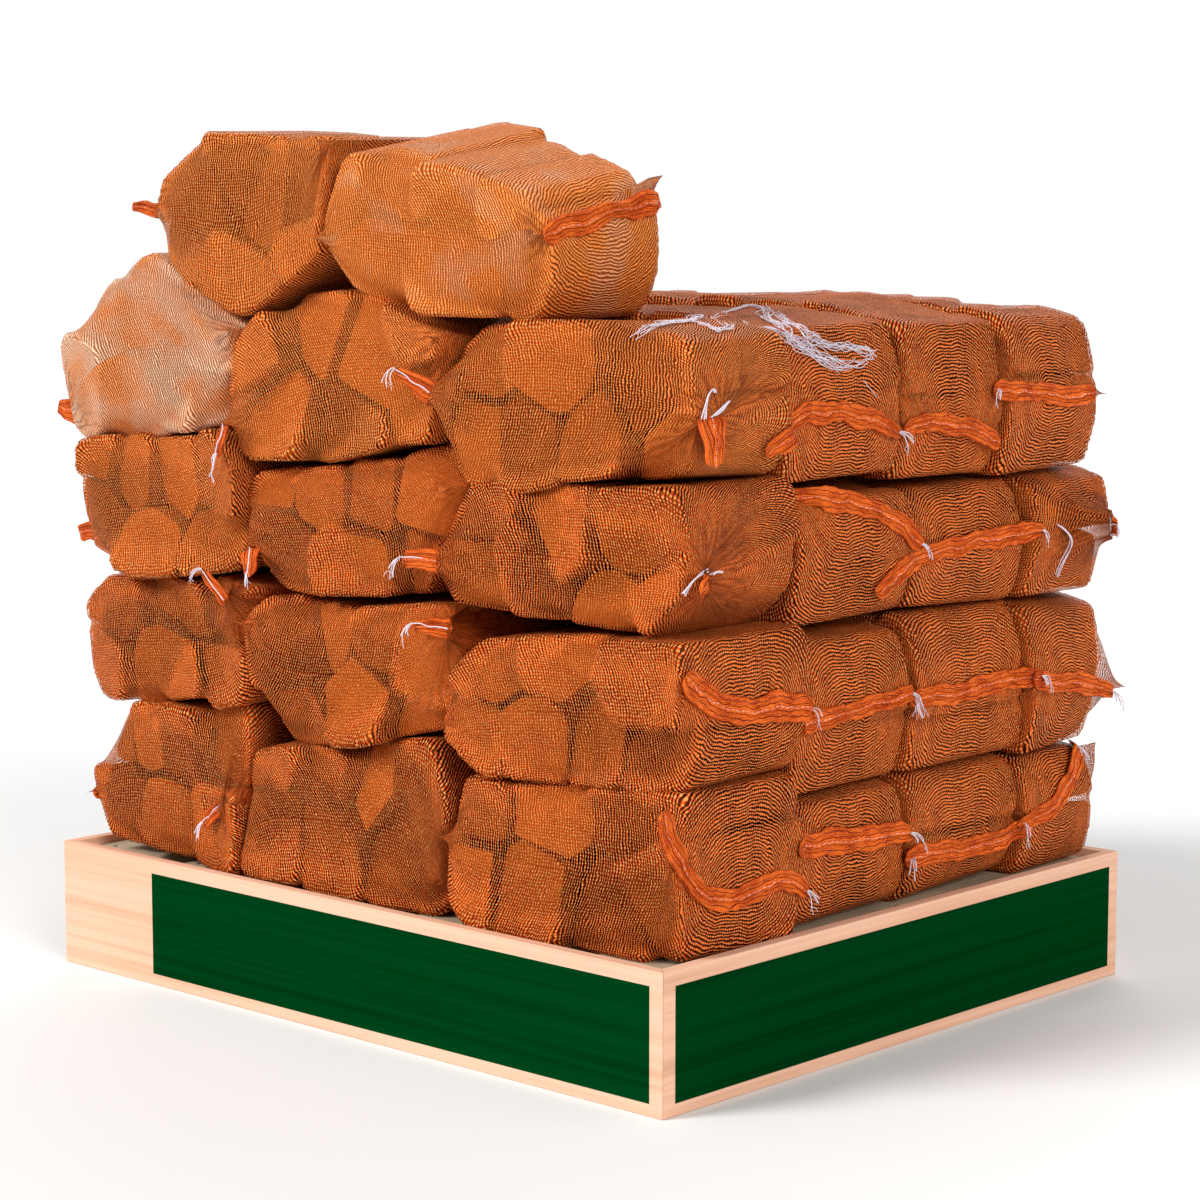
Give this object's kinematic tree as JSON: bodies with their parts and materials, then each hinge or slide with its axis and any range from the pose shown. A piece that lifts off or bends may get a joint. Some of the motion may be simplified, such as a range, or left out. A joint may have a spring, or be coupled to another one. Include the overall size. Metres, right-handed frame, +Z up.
{
  "type": "pallet of kiln-dried oak logs",
  "caption": "Wooden pallet with a low board skirt, stacked with knitted net sacks of short split oak logs in columns, rows and layers, with loose sacks on top.",
  "frame": {"origin": "on the floor, under the middle of the pallet", "axes": "+X along the pallet's long side, +Z up, the front row of sacks faces -Y"},
  "size_m": [1.3696, 1.0542, 1.262],
  "materials": {
    "sacked_oak_logs": "split oak seen through orange net",
    "net": "knitted plastic tape, slightly glossy",
    "string": "white twisted drawstring",
    "pallet_wood": "rough sawn, weathered grey-brown",
    "skirt_wood": "planed pale wood with painted green panels",
    "nail": "dull flat nail heads"
  },
  "bodies": {
    "root": {"log_sack_layer1_row1_left": "sacked_oak_logs", "log_sack_layer1_row1_middle": "sacked_oak_logs", "log_sack_layer1_row1_right": "sacked_oak_logs", "log_sack_layer1_row2_left": "sacked_oak_logs", "log_sack_layer1_row2_middle": "sacked_oak_logs", "log_sack_layer1_row2_right": "sacked_oak_logs", "log_sack_layer1_row3_left": "sacked_oak_logs", "log_sack_layer1_row3_middle": "sacked_oak_logs", "log_sack_layer1_row3_right": "sacked_oak_logs", "log_sack_layer1_row4_left": "sacked_oak_logs", "log_sack_layer1_row4_middle": "sacked_oak_logs", "log_sack_layer1_row4_right": "sacked_oak_logs", "log_sack_layer2_row1_left": "sacked_oak_logs", "log_sack_layer2_row1_middle": "sacked_oak_logs", "log_sack_layer2_row1_right": "sacked_oak_logs", "log_sack_layer2_row2_left": "sacked_oak_logs", "log_sack_layer2_row2_middle": "sacked_oak_logs", "log_sack_layer2_row2_right": "sacked_oak_logs", "log_sack_layer2_row3_left": "sacked_oak_logs", "log_sack_layer2_row3_middle": "sacked_oak_logs", "log_sack_layer2_row3_right": "sacked_oak_logs", "log_sack_layer2_row4_left": "sacked_oak_logs", "log_sack_layer2_row4_middle": "sacked_oak_logs", "log_sack_layer2_row4_right": "sacked_oak_logs", "log_sack_layer3_row1_left": "sacked_oak_logs", "log_sack_layer3_row1_middle": "sacked_oak_logs", "log_sack_layer3_row1_right": "sacked_oak_logs", "log_sack_layer3_row2_left": "sacked_oak_logs", "log_sack_layer3_row2_middle": "sacked_oak_logs", "log_sack_layer3_row2_right": "sacked_oak_logs", "log_sack_layer3_row3_left": "sacked_oak_logs", "log_sack_layer3_row3_middle": "sacked_oak_logs", "log_sack_layer3_row3_right": "sacked_oak_logs", "log_sack_layer3_row4_left": "sacked_oak_logs", "log_sack_layer3_row4_middle": "sacked_oak_logs", "log_sack_layer3_row4_right": "sacked_oak_logs", "log_sack_layer4_row1_left": "sacked_oak_logs", "log_sack_layer4_row1_middle": "sacked_oak_logs", "log_sack_layer4_row1_right": "sacked_oak_logs", "log_sack_layer4_row2_left": "sacked_oak_logs", "log_sack_layer4_row2_middle": "sacked_oak_logs", "log_sack_layer4_row2_right": "sacked_oak_logs", "log_sack_layer4_row3_left": "sacked_oak_logs", "log_sack_layer4_row3_middle": "sacked_oak_logs", "log_sack_layer4_row3_right": "sacked_oak_logs", "log_sack_layer4_row4_left": "sacked_oak_logs", "log_sack_layer4_row4_middle": "sacked_oak_logs", "log_sack_layer4_row4_right": "sacked_oak_logs", "log_sack_top_left": "sacked_oak_logs", "log_sack_top_right": "sacked_oak_logs", "skirt_board_front": "skirt_wood", "skirt_board_right": "skirt_wood", "skirt_board_back": "skirt_wood", "skirt_board_left": "skirt_wood", "pallet_deck": "pallet_wood", "pallet_runner_front": "pallet_wood", "pallet_runner_centre": "pallet_wood", "pallet_runner_back": "pallet_wood"}
  },
  "joints": []
}
